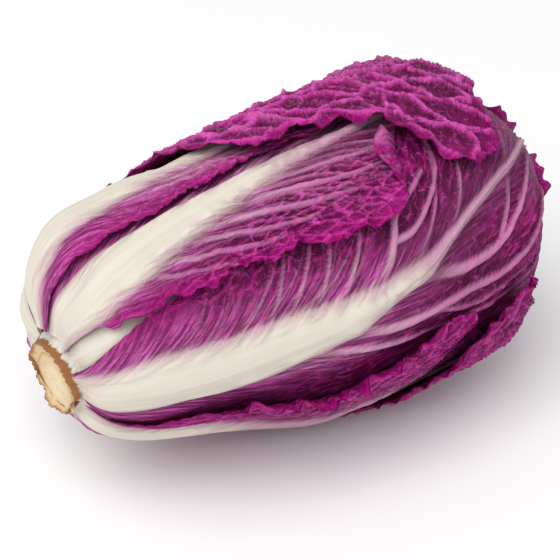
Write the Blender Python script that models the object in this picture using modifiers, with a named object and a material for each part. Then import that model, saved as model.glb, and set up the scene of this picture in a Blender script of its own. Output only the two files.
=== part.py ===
"""A napa cabbage head with purple leaves, lying on its side. Metres, +Z up, the cut stem towards -X.

The head is built the way it grew: a stem, a heart of packed inner leaves on it, and ten leaves wrapped
round the heart one over another. Each leaf is a sheet laid on the head's surface at its own layer, and
thickened more along its rib than in its blade. Where the head rests, the layers are pressed flat.
"""

from math import cos, pi, radians, sin

import bpy
import numpy as np

HEART_RADIUS = 0.0670  # at the widest place, under every leaf
BASE_LENGTH = 0.1980  # from the widest place back to the stem end
CROWN_LENGTH = 0.0490  # from the widest place forward to the tip
BASE_SQUARENESS = 2.9  # 2 is an ellipse, more is a squarer shoulder
CROWN_SQUARENESS = 1.8

LAYER_PITCH = 0.0033  # from one leaf's inner face to the next leaf's
BLADE_THICKNESS = 0.0014
FOOT_SHARE = 0.16  # of the leaf's length, over which its rib thickens and it rises to its layer
FOOT_PITCH = 0.62  # of the layer pitch, at the leaves' feet, where they are pressed together round the stem
TIP_SHARE = 0.32  # of the leaf's length, over which its end is rounded
OUTER_LAYER = 5.4
REST_LAYER = 4  # the layer that lies on the table
FLATTENING = 0.0034  # how far the table presses the head in

STEM_RADIUS = 0.0205
STEM_DEPTH = 0.0700  # of stem inside the heart
STEM_PROUD = 0.0030  # of the cut face past the outermost leaf
GAP = 0.0005  # between pieces that touch

AXIS_TILT = radians(2.4)  # the crown end is the thicker, so the axis rises towards it
HEAD_X = 0.0734  # the widest place, ahead of the middle of the bounding box
HEAD_Y = -0.0040

LENGTH_CELLS = 16
WIDTH_CELLS = 14
ROUND_STEPS = 32
STATIONS = (0.0, 0.25, 0.5, 0.75, 1.0)  # where a leaf's rib and widths are given, from its foot to its tip

# Each leaf: its layer, the angle of its rib round the axis (0 faces the front, 90 is the top), the half
# widths below and above the rib in millimetres, how far its tip reaches over the crown in degrees (90 is
# the very end), and the rib's half width at its foot and its rise above the blade, in millimetres.
LEAVES = {
    "inner_leaf_front": dict(layer=1, rib=(44, 44, 46, 48, 50), low=(13, 40, 62, 58, 46),
                             high=(13, 40, 60, 56, 46), reach=66, rib_half=14, rib_rise=0.8),
    "inner_leaf_under": dict(layer=1, rib=(-80, -80, -80, -80, -80), low=(13, 38, 58, 54, 44),
                             high=(13, 38, 58, 54, 44), reach=60, rib_half=14, rib_rise=0.8),
    "inner_leaf_back": dict(layer=1, rib=(168, 168, 168, 168, 168), low=(13, 38, 58, 54, 44),
                            high=(13, 38, 58, 54, 44), reach=60, rib_half=14, rib_rise=0.8),
    "front_leaf": dict(layer=2, rib=(10, 12, 15, 23, 30), low=(13, 42, 62, 70, 60),
                       high=(13, 38, 62, 84, 80), reach=84, rib_half=18, rib_rise=4.5),
    "back_leaf": dict(layer=2, rib=(190, 190, 190, 190, 190), low=(13, 40, 62, 60, 50),
                      high=(13, 40, 62, 60, 50), reach=64, rib_half=14, rib_rise=0.8),
    "upper_front_leaf": dict(layer=3, rib=(72, 67, 71, 76, 78), low=(12, 24, 33, 36, 34),
                             high=(12, 30, 46, 48, 40), reach=36, rib_half=13, rib_rise=3.6),
    "lower_front_leaf": dict(layer=3, rib=(-44, -48, -48, -44, -40), low=(13, 34, 46, 48, 40),
                             high=(13, 42, 56, 62, 50), reach=58, rib_half=14, rib_rise=2.2),
    "top_leaf": dict(layer=4.4, rib=(118, 104, 102, 104, 108), low=(12, 27, 34, 40, 36),
                     high=(12, 30, 44, 50, 40), reach=34, rib_half=13, rib_rise=2.4),
    "under_leaf": dict(layer=4, rib=(-112, -112, -112, -108, -100), low=(13, 42, 66, 76, 60),
                       high=(13, 40, 76, 100, 90), reach=88, rib_half=14, rib_rise=0.9),
    "crown_leaf": dict(layer=OUTER_LAYER, rib=(165, 158, 152, 146, 128), low=(13, 34, 66, 100, 88),
                       high=(13, 38, 62, 78, 66), reach=82, rib_half=15, rib_rise=3.0),
}

WHITE_RIB = (0.86, 0.84, 0.76)
PURPLE = (0.30, 0.012, 0.17)
PALE_PURPLE = (0.42, 0.05, 0.28)
CUT_BUFF = (0.62, 0.43, 0.24)


def clear_scene():
    for old in list(bpy.data.objects):
        bpy.data.objects.remove(old)


def collection_for(name):
    made = bpy.data.collections.new(name)
    bpy.context.scene.collection.children.link(made)
    return made


def material(name, color, roughness):
    made = bpy.data.materials.new(name)
    made.use_nodes = True
    shader = made.node_tree.nodes["Principled BSDF"]
    shader.inputs["Base Color"].default_value = (*color, 1)
    shader.inputs["Roughness"].default_value = roughness
    shader.inputs["Metallic"].default_value = 0
    return made


def eased(values, at):
    """The value at a place between the stations, on a smooth curve through them all."""
    last = len(STATIONS) - 1
    first = min(int(at * last), last - 1)
    share = at * last - first
    before, start, end, after = (values[min(max(first + i, 0), last)] for i in (-1, 0, 1, 2))
    bend = 2 * before - 5 * start + 4 * end - after + share * (3 * (start - end) + after - before)
    return start + share / 2 * (end - before + share * bend)


class HeadSurface:
    """The heart's outer surface: a round shape about X, its widest place at x = 0."""

    def __init__(self):
        corner = np.linspace(0, pi / 2, 400)
        self.base_x = -BASE_LENGTH * np.sin(corner) ** (2 / BASE_SQUARENESS)
        self.base_r = HEART_RADIUS * np.cos(corner) ** (2 / BASE_SQUARENESS)
        outside_stem = self.base_r > STEM_RADIUS + GAP
        self.base_x = self.base_x[outside_stem][::-1]
        self.base_r = self.base_r[outside_stem][::-1]
        self.base_arc = self.arc_of(self.base_x, self.base_r)
        crown_x = CROWN_LENGTH * np.sin(corner) ** (2 / CROWN_SQUARENESS)
        crown_r = HEART_RADIUS * np.cos(corner) ** (2 / CROWN_SQUARENESS)
        self.crown_turn = np.arctan2(crown_x, crown_r)
        self.crown_arc = self.arc_of(crown_x, crown_r)

    @staticmethod
    def arc_of(x, r):
        return np.concatenate([[0], np.cumsum(np.hypot(np.diff(x), np.diff(r)))])

    def leaf_length(self, reach):
        return self.base_arc[-1] + np.interp(radians(reach), self.crown_turn, self.crown_arc)

    def place(self, arc, aside, rib_angle, lift):
        """The point this far along the surface from the stem and this far round from the rib, raised by lift."""
        out = np.array([0, -cos(rib_angle), sin(rib_angle)])
        round_way = np.array([0, sin(rib_angle), cos(rib_angle)])
        forward = np.array([1.0, 0, 0])
        if arc < self.base_arc[-1]:
            x = np.interp(arc, self.base_arc, self.base_x)
            radius = np.interp(arc, self.base_arc, self.base_r)
            turn = aside / (radius + lift)
            away = cos(turn) * out + sin(turn) * round_way
            point = forward * x + away * radius
            slope_x = -((-x / BASE_LENGTH) ** (BASE_SQUARENESS - 1)) / BASE_LENGTH
            slope_r = (radius / HEART_RADIUS) ** (BASE_SQUARENESS - 1) / HEART_RADIUS
            normal = forward * slope_x + away * slope_r
        else:
            over = np.interp(arc - self.base_arc[-1], self.crown_arc, self.crown_turn)
            turn = aside / (HEART_RADIUS + lift)
            away = cos(turn) * (cos(over) * out + sin(over) * forward) + sin(turn) * round_way
            ahead, across = max(away[0], 0), np.hypot(away[1], away[2])
            power = CROWN_SQUARENESS
            size = ((ahead / CROWN_LENGTH) ** power + (across / HEART_RADIUS) ** power) ** (-1 / power)
            point = away * size
            slope_x = (ahead * size / CROWN_LENGTH) ** (power - 1) / CROWN_LENGTH
            slope_r = (across * size / HEART_RADIUS) ** (power - 1) / HEART_RADIUS
            sideways = np.array([0, away[1], away[2]]) / max(across, 1e-9)
            normal = forward * slope_x + sideways * slope_r
        return point + normal / np.linalg.norm(normal) * lift


AXIS_HEIGHT = HEART_RADIUS + REST_LAYER * LAYER_PITCH + BLADE_THICKNESS - FLATTENING


def laid_down(point):
    """A point of the head with its axis along X, moved to where the tilted head lies on the table."""
    x, y, z = point
    return np.array([
        x * cos(AXIS_TILT) - z * sin(AXIS_TILT) + HEAD_X,
        y + HEAD_Y,
        x * sin(AXIS_TILT) + z * cos(AXIS_TILT) + AXIS_HEIGHT + TILT_RISE,
    ])


TILT_RISE = 0.0030  # the tilt lifts the widest place by this much over the place that rests


def build_leaf(name, leaf, surface, group, finish):
    bpy.ops.mesh.primitive_grid_add(x_subdivisions=WIDTH_CELLS, y_subdivisions=LENGTH_CELLS, size=2)
    made = bpy.context.object
    made.name = name
    length = surface.leaf_length(leaf["reach"])
    lift = leaf["layer"] * LAYER_PITCH
    thickest = BLADE_THICKNESS + leaf["rib_rise"] / 1000
    weights = made.vertex_groups.new(name="thickness")
    for vertex in made.data.vertices:
        across, along = vertex.co.x, (vertex.co.y + 1) / 2
        side = leaf["high"] if across > 0 else leaf["low"]
        rounding = (1 - 0.93 * max(0, (along - 1 + TIP_SHARE) / TIP_SHARE) ** 2) ** 0.5
        aside = np.sign(across) * abs(across) ** 1.2 * eased(side, along) * rounding / 1000
        rib_half = leaf["rib_half"] / 1000 * (1 - along) ** 0.6 + 0.002
        rib_share = max(0, 1 - (aside / rib_half) ** 2) * (1 - along) * min(1, along / FOOT_SHARE)
        thickness = BLADE_THICKNESS + leaf["rib_rise"] / 1000 * rib_share
        rib_angle = radians(eased(leaf["rib"], along))
        risen = min(1, along / FOOT_SHARE) * (1 - FOOT_PITCH) + FOOT_PITCH
        point = laid_down(surface.place(length * along, aside, rib_angle, lift * risen))
        floor = thickness + max(0, REST_LAYER - leaf["layer"]) * LAYER_PITCH
        point[2] = max(point[2], floor)
        vertex.co = point
        weights.add([vertex.index], thickness / thickest, "REPLACE")
    made.location = (0, 0, 0)
    shell = made.modifiers.new("thickness", "SOLIDIFY")
    shell.thickness = thickest
    shell.offset = -1
    shell.use_rim = True
    shell.vertex_group = "thickness"
    shell.use_flip_normals = False
    finish_piece(made, group, finish)
    return made


def build_turned(name, profile, group, finish):
    """A solid turned about the head's axis from (x, radius) points, which run from the front to the back."""
    mesh = bpy.data.meshes.new(name)
    points = [(x, 0, radius) for x, radius in profile]
    mesh.from_pydata(points, [(i, i + 1) for i in range(len(points) - 1)], [])
    made = bpy.data.objects.new(name, mesh)
    turn = made.modifiers.new("turn", "SCREW")
    turn.axis = "X"
    turn.steps = ROUND_STEPS
    turn.render_steps = ROUND_STEPS
    turn.use_merge_vertices = True
    turn.merge_threshold = 0.00005
    made.location = laid_down((0, 0, 0))
    made.rotation_euler = (0, -AXIS_TILT, 0)
    bpy.context.scene.collection.objects.link(made)
    finish_piece(made, group, finish)
    return made


def finish_piece(made, group, finish):
    made.data.materials.clear()
    made.data.materials.append(finish)
    for owner in list(made.users_collection):
        owner.objects.unlink(made)
    group.objects.link(made)


def heart_profile(surface):
    """From the tip back round the outside, then into the socket that the stem fills."""
    corner = np.linspace(pi / 2, 0, 9)
    crown = [(CROWN_LENGTH * sin(c) ** (2 / CROWN_SQUARENESS), HEART_RADIUS * cos(c) ** (2 / CROWN_SQUARENESS))
             for c in corner]
    crown[0] = (CROWN_LENGTH, 0)
    arcs = np.linspace(surface.base_arc[-1], 0, 16)[1:]
    base = [(np.interp(arc, surface.base_arc, surface.base_x), np.interp(arc, surface.base_arc, surface.base_r))
            for arc in arcs]
    socket_end = -BASE_LENGTH + STEM_DEPTH
    return crown + base + [(socket_end, STEM_RADIUS + GAP), (socket_end, 0)]


def stem_profile():
    """From the inner end back to the cut face, a little narrower inside the head."""
    inner = -BASE_LENGTH + STEM_DEPTH - GAP
    cut_face = -BASE_LENGTH - OUTER_LAYER * LAYER_PITCH * FOOT_PITCH - BLADE_THICKNESS - STEM_PROUD
    return [
        (inner, 0),
        (inner, STEM_RADIUS * 0.9),
        (inner - 0.05, STEM_RADIUS * 0.97),
        (cut_face + 0.012, STEM_RADIUS),
        (cut_face + 0.0012, STEM_RADIUS),
        (cut_face, STEM_RADIUS - 0.0012),
        (cut_face, 0),
    ]


def build_cabbage():
    clear_scene()
    group = collection_for("napa_cabbage")
    surface = HeadSurface()
    rib_white = material("rib_white", WHITE_RIB, 0.4)
    purple = material("leaf_purple", PURPLE, 0.45)
    pale = material("heart_leaf", PALE_PURPLE, 0.5)
    buff = material("cut_stem", CUT_BUFF, 0.8)
    build_turned("stem", stem_profile(), group, buff)
    build_turned("heart", heart_profile(surface), group, pale)
    for name, leaf in LEAVES.items():
        shown_rib = leaf["rib_rise"] > 3
        build_leaf(name, leaf, surface, group, rib_white if shown_rib else purple)


build_cabbage()
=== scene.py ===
import math

import bpy
import numpy as np
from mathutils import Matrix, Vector


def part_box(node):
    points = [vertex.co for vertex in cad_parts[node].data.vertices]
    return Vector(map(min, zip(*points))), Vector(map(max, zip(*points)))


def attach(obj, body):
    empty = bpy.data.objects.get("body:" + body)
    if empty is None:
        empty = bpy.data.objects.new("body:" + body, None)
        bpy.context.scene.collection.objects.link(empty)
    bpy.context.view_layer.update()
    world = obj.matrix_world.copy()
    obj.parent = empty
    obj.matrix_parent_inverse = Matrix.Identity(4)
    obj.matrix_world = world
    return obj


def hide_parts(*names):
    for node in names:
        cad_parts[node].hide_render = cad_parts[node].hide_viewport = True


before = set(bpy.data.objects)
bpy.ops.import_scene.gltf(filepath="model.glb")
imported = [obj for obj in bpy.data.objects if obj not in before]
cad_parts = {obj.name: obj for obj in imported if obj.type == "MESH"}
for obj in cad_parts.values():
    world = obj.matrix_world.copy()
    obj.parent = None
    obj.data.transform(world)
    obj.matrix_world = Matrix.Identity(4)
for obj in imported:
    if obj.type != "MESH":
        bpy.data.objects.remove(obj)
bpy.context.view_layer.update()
print("frame loaded")

# The heart under the leaves, in metres: a round shape about its axis, widest at x = 0, the stem towards -x.
headShape = {
    "radius": 0.067,
    "baseLength": 0.198,
    "crownLength": 0.049,
    "baseSquareness": 2.9,
    "crownSquareness": 1.8,
    "stemRadius": 0.0205,
    "tilt": math.radians(2.4),
    "skin": 0.010,  # how far outside the heart the leaves' outlines below are given
    "unevenness": 0.0014,
    # packed leaves over the heart: millimetres from the stem along it, thickness
    "packing": [(0, 12.5), (12, 10), (35, 5), (70, 1.5), (110, 2.5), (190, 3), (220, 1), (240, 0), (320, 0)],
    # shares by which the head is fuller or leaner in places, in a direction given in degrees round it
    "squeeze": (0.20, -62),  # leaner below, at the stem end
    "shoulder": (0.11, 150),  # fuller behind, at the stem end
    "crest": (0.06, 130),  # leaner behind, at the middle
    "brow": (0.07, 105),  # leaner above, at the crown
    "hug": 0.0056,  # how much closer the feet of the stalks come to the stem
    "tableSoftness": 0.0012,  # how softly the table flattens what lies on it
}

detail = {
    "shown": (190, 250),  # points across and along a leaf
    "hidden": (90, 130),
    "quickShare": 0.6,
    "mapPitch": 0.0015,  # of the height map that the leaves are laid on
}


# Noise over a plane, the same each run: large odd numbers scramble the corners of a grid.
def hashed(ix, iy, seed):
    n = (ix.astype(np.int64) * 374761393 + iy.astype(np.int64) * 668265263 + seed * 974634777) & 0xFFFFFFFF
    n = ((n ^ (n >> 13)) * 1274126177) & 0xFFFFFFFF
    n = ((n ^ (n >> 16)) * 2246822519) & 0xFFFFFFFF
    return ((n ^ (n >> 15)) & 0xFFFFFF) / 0xFFFFFF


def noise(x, y, seed):
    ix, iy = np.floor(x), np.floor(y)
    fx, fy = x - ix, y - iy
    fx, fy = fx * fx * fx * (fx * (fx * 6 - 15) + 10), fy * fy * fy * (fy * (fy * 6 - 15) + 10)
    corner = [hashed(ix + i, iy + j, seed) for j in (0, 1) for i in (0, 1)]
    low = corner[0] * (1 - fx) + corner[1] * fx
    high = corner[2] * (1 - fx) + corner[3] * fx
    return (low * (1 - fy) + high * fy) * 2 - 1


def layered(x, y, seed, layers=3):
    # several layers of noise, each about twice as fine and half as strong as the one before
    total, size = 0, 0
    for k in range(layers):
        share = 0.55 ** k
        total = total + noise(x * 2.03 ** k + 17.3 * k, y * 2.03 ** k + 9.1 * k, seed + k) * share
        size += share
    return total / size


def cellEdges(x, y, seed, jitter=0.8):
    # how much farther the second nearest point of a jittered grid is than the nearest: 0 between cells
    ix, iy = np.floor(x), np.floor(y)
    nearest = np.full(x.shape, 9.0)
    second = np.full(x.shape, 9.0)
    for j in (-1, 0, 1):
        for i in (-1, 0, 1):
            px = ix + i + 0.5 + jitter * (hashed(ix + i, iy + j, seed) - 0.5)
            py = iy + j + 0.5 + jitter * (hashed(ix + i, iy + j, seed + 7) - 0.5)
            away = np.hypot(px - x, py - y)
            second = np.minimum(second, np.maximum(nearest, away))
            nearest = np.minimum(nearest, away)
    return second - nearest


def smooth(low, high, value):
    share = np.clip((value - low) / (high - low), 0, 1)
    return share * share * (3 - 2 * share)


def through(stations, values, at):
    # a smooth curve through given values
    stations, values = np.asarray(stations, float), np.asarray(values, float)
    slopes = np.gradient(values, stations)
    at = np.clip(at, stations[0], stations[-1])
    k = np.clip(np.searchsorted(stations, at, side="right") - 1, 0, len(stations) - 2)
    step = stations[k + 1] - stations[k]
    t = (at - stations[k]) / step
    return ((2 * t ** 3 - 3 * t ** 2 + 1) * values[k] + (t ** 3 - 2 * t ** 2 + t) * step * slopes[k]
            + (3 * t ** 2 - 2 * t ** 3) * values[k + 1] + (t ** 3 - t ** 2) * step * slopes[k + 1])


def blurred(field, reach):
    # a soft average, reach cells wide
    kernel = np.exp(-0.5 * (np.arange(-2 * reach, 2 * reach + 1) / reach) ** 2)
    kernel /= kernel.sum()
    for axis in (0, 1):
        pad = [(0, 0), (0, 0)]
        pad[axis] = (2 * reach, 2 * reach)
        wide = np.pad(field, pad, mode="edge")
        field = sum(k * np.take(wide, np.arange(field.shape[axis]) + i, axis) for i, k in enumerate(kernel))
    return field


def widened(field, reach):
    # each place takes the highest value around it
    for axis in (0, 1):
        pad = [(0, 0), (0, 0)]
        pad[axis] = (reach, reach)
        wide = np.pad(field, pad, mode="edge")
        steps = np.arange(field.shape[axis])
        field = np.max([np.take(wide, steps + i, axis) for i in range(2 * reach + 1)], axis=0)
    return field


class HeadSurface:
    # the turned shape that the leaves wrap: a place is an arc from the stem and an angle round the head
    def __init__(self, shape):
        self.shape = shape
        corner = np.linspace(0, math.pi / 2, 4000)
        power = shape["baseSquareness"]
        x = -shape["baseLength"] * np.sin(corner) ** (2 / power)
        r = shape["radius"] * np.cos(corner) ** (2 / power)
        outside = r > shape["stemRadius"]
        self.baseX, self.baseR = x[outside][::-1], r[outside][::-1]
        self.baseArc = self.arcs(self.baseX, self.baseR)
        power = shape["crownSquareness"]
        crownX = shape["crownLength"] * np.sin(corner) ** (2 / power)
        crownR = shape["radius"] * np.cos(corner) ** (2 / power)
        self.crownTurn = np.arctan2(crownX, crownR)
        self.crownArc = self.arcs(crownX, crownR)
        self.widest = self.baseArc[-1]
        self.total = self.widest + self.crownArc[-1]
        # arc of the place whose outside point, one skin out, is this far along the axis
        everyArc = np.linspace(0, self.total, 3000)
        point, normal, _, _ = self.locate(everyArc, everyArc * 0, everyArc * 0)
        self.outsideX = point[:, 0] + normal[:, 0] * shape["skin"]
        self.everyArc = everyArc
        self.placeInFrame()

    @staticmethod
    def arcs(x, r):
        return np.concatenate([[0], np.cumsum(np.hypot(np.diff(x), np.diff(r)))])

    def placeInFrame(self):
        # the turned profile fills the CAD heart's box
        t = self.shape["tilt"]
        corner = np.linspace(0, 1.57, 90)
        power = 2 / self.shape["crownSquareness"]
        x = np.concatenate([self.baseX, self.shape["crownLength"] * np.sin(corner) ** power])
        r = np.concatenate([self.baseR, self.shape["radius"] * np.cos(corner) ** power])
        low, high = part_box("heart")
        self.origin = np.array([
            high.x - (x * math.cos(t)).max(),
            (low.y + high.y) / 2,
            (high.z + low.z) / 2 - ((x * math.sin(t) + r * math.cos(t)).max()
                                    + (x * math.sin(t) - r * math.cos(t)).min()) / 2,
        ])

    def arcOf(self, millimetres):
        # millimetres from the stem's end of the head, measured along its axis, outside the leaves
        stemEnd = self.outsideX[0]
        return np.interp(stemEnd + np.asarray(millimetres, float) / 1000, self.outsideX, self.everyArc)

    def radiusAt(self, arc):
        radius = np.where(arc < self.widest, np.interp(arc, self.baseArc, self.baseR), self.shape["radius"])
        return radius + self.shape["skin"]

    def locate(self, arc, aside, angle):
        # a place aside of the line at this angle: its point and normal, and its own arc and angle. On the
        # crown aside runs along a great circle, so a leaf doesn't narrow towards the crown's tip
        shape = self.shape
        inBase = arc < self.widest
        radius = np.interp(arc, self.baseArc, self.baseR)
        x = np.interp(arc, self.baseArc, self.baseX)
        turn = aside / self.radiusAt(arc)
        over = np.where(inBase, 0, np.interp(arc - self.widest, self.crownArc, self.crownTurn))
        ahead = np.cos(turn) * np.sin(over)
        outward = np.cos(turn) * np.cos(over)
        ay = -outward * np.cos(angle) + np.sin(turn) * np.sin(angle)
        az = outward * np.sin(angle) + np.sin(turn) * np.cos(angle)
        across = np.maximum(np.hypot(ay, az), 1e-9)
        power = shape["baseSquareness"]
        baseNormalX = -(np.clip(-x / shape["baseLength"], 0, 1) ** (power - 1)) / shape["baseLength"]
        baseNormalR = (radius / shape["radius"]) ** (power - 1) / shape["radius"]
        power = shape["crownSquareness"]
        ahead = np.maximum(ahead, 0)
        size = (ahead / shape["crownLength"]) ** power + (across / shape["radius"]) ** power
        size = size ** (-1 / power)
        crownNormalX = (ahead * size / shape["crownLength"]) ** (power - 1) / shape["crownLength"]
        crownNormalR = (across * size / shape["radius"]) ** (power - 1) / shape["radius"]
        px = np.where(inBase, x, ahead * size)
        pr = np.where(inBase, radius, across * size)
        nx = np.where(inBase, baseNormalX, crownNormalX)
        nr = np.where(inBase, baseNormalR, crownNormalR)
        long = np.hypot(nx, nr)
        uy, uz = ay / across, az / across
        point = np.stack([px, uy * pr, uz * pr], -1)
        normal = np.stack([nx / long, uy * nr / long, uz * nr / long], -1)
        polar = np.arctan2(ahead * size, across * size)
        mapArc = np.where(inBase, arc, self.widest + np.interp(polar, self.crownTurn, self.crownArc))
        mapAngle = np.arctan2(uz, -uy)
        return point, normal, mapArc, mapAngle

    def laidDown(self, point):
        # from the turned shape to the head as it lies, fuller and leaner in places and tilted
        shape = self.shape
        x, y, z = point[..., 0], point[..., 1], point[..., 2]
        out = np.maximum(np.hypot(y, z), 1e-9)
        angle = np.arctan2(z, -y)

        def bulge(name, power):
            share, degrees = shape[name]
            return share * np.clip(np.cos(angle - math.radians(degrees)), 0, 1) ** power

        stemEnd = (bulge("shoulder", 1.5) * smooth(-0.165, -0.200, x)
                   - bulge("squeeze", 1.5) * smooth(-0.095, -0.185, x)) * smooth(0.020, 0.036, out)
        crest = bulge("crest", 2) * smooth(-0.16, -0.11, x) * smooth(-0.01, -0.06, x)
        brow = bulge("brow", 2) * smooth(-0.010, 0.030, x)
        nearStem = smooth(0.040, 0.025, out) * smooth(0.020, 0.024, out)
        hug = shape["hug"] * smooth(-0.200, -0.212, x) * nearStem
        grown = 1 + stemEnd - crest - brow - hug / out
        y, z = y * grown, z * grown
        t = shape["tilt"]
        laid = np.stack([x * math.cos(t) - z * math.sin(t), y, x * math.sin(t) + z * math.cos(t)], -1)
        laid += self.origin
        height = laid[..., 2]
        laid[..., 2] = (height + np.sqrt(height ** 2 + shape["tableSoftness"] ** 2)) / 2
        return laid


class HeightMap:
    # how high the leaves laid so far reach over the heart, over a round map whose middle is the crown's tip
    def __init__(self, surface):
        self.surface = surface
        self.pitch = detail["mapPitch"]
        self.half = int(surface.total / self.pitch) + 6
        self.side = 2 * self.half + 1

    def cells(self, arc, angle):
        out = np.maximum(self.surface.total - arc, 0) / self.pitch
        return self.half + out * np.cos(angle), self.half + out * np.sin(angle)

    def start(self):
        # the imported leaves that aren't modelled, as a thickness over the heart
        y, x = (np.mgrid[0:self.side, 0:self.side] - self.half) * self.pitch
        arc = self.surface.total - np.hypot(x, y)
        at, thick = np.array(headShape["packing"]).T / 1000
        return through(at, thick, arc) + (layered(x / 0.05, y / 0.05, 3) + 1) * headShape["unevenness"]

    def sample(self, field, arc, angle):
        x, y = self.cells(arc, angle)
        ix, iy = np.clip(x.astype(int), 0, self.side - 2), np.clip(y.astype(int), 0, self.side - 2)
        fx, fy = np.clip(x - ix, 0, 1), np.clip(y - iy, 0, 1)
        return ((field[iy, ix] * (1 - fx) + field[iy, ix + 1] * fx) * (1 - fy)
                + (field[iy + 1, ix] * (1 - fx) + field[iy + 1, ix + 1] * fx) * fy)

    def lay(self, field, arc, angle, height):
        # raise the field to each height, in the cells on all sides of its place
        x, y = self.cells(arc, angle)
        for dx in (-0.5, 0.5):
            for dy in (-0.5, 0.5):
                ix = np.clip(np.round(x + dx).astype(int), 0, self.side - 1)
                iy = np.clip(np.round(y + dy).astype(int), 0, self.side - 1)
                np.maximum.at(field, (iy.ravel(), ix.ravel()), height.ravel())


surface = HeadSurface(headShape)
heights = HeightMap(surface)
print("head surface ready")


def edge(lift, over, curl, roll, frill, wave, begins=(0.03, 0.16), ends=(1.1, 1.2)):
    # a margin stands off by lift over a width, curls by degrees over the roll's width (inwards
    # if negative) and has frills of a height and length, in millimetres; it begins and ends
    # between shares of the leaf's length
    return {"lift": lift / 1000, "over": over / 1000, "curl": math.radians(curl), "roll": roll / 1000,
            "frill": frill / 1000, "wave": wave / 1000, "begins": begins, "ends": ends}


def veins(first, last, step, start, end, length, width, rise, forkFrom=0):
    # side veins from first to last along the leaf, heading off the rib by start and then end degrees
    return {"first": first, "last": last, "step": step, "start": start, "end": end, "length": length / 1000,
            "width": width / 1000, "rise": rise / 1000, "forkFrom": forkFrom}


plainEdge = edge(2, 16, 20, 6, 1.2, 11)
quietEdge = edge(0, 16, 0, 6, 0.4, 12)
plainVeins = veins(25, 215, 17, 14, 48, 75, 1.3, 0.9)
plainLeaf = {
    "slot": "outer_leaf", "low": quietEdge, "high": quietEdge, "tip": quietEdge,
    "veinsLow": plainVeins, "veinsHigh": plainVeins, "strong": [],
    "shown": True,  # seen from outside, so made finer
    "crinkle": 0.3, "cell": (12, 8), "fine": 0.45,  # puckers: height, size in millimetres, small ones
    "net": 0.4,  # how clear the pale lines between the puckers are
    "teeth": 0.8, "grooves": 0.25,
    "whiteUntil": (60, 140),  # where along the leaf the white rib fades
    "blush": 16,  # how far the pale pink spreads from the rib
    # whether the leaf takes the shaded copy of its material, darkened as painted shade
    "shadedCopy": False,
}

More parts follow.
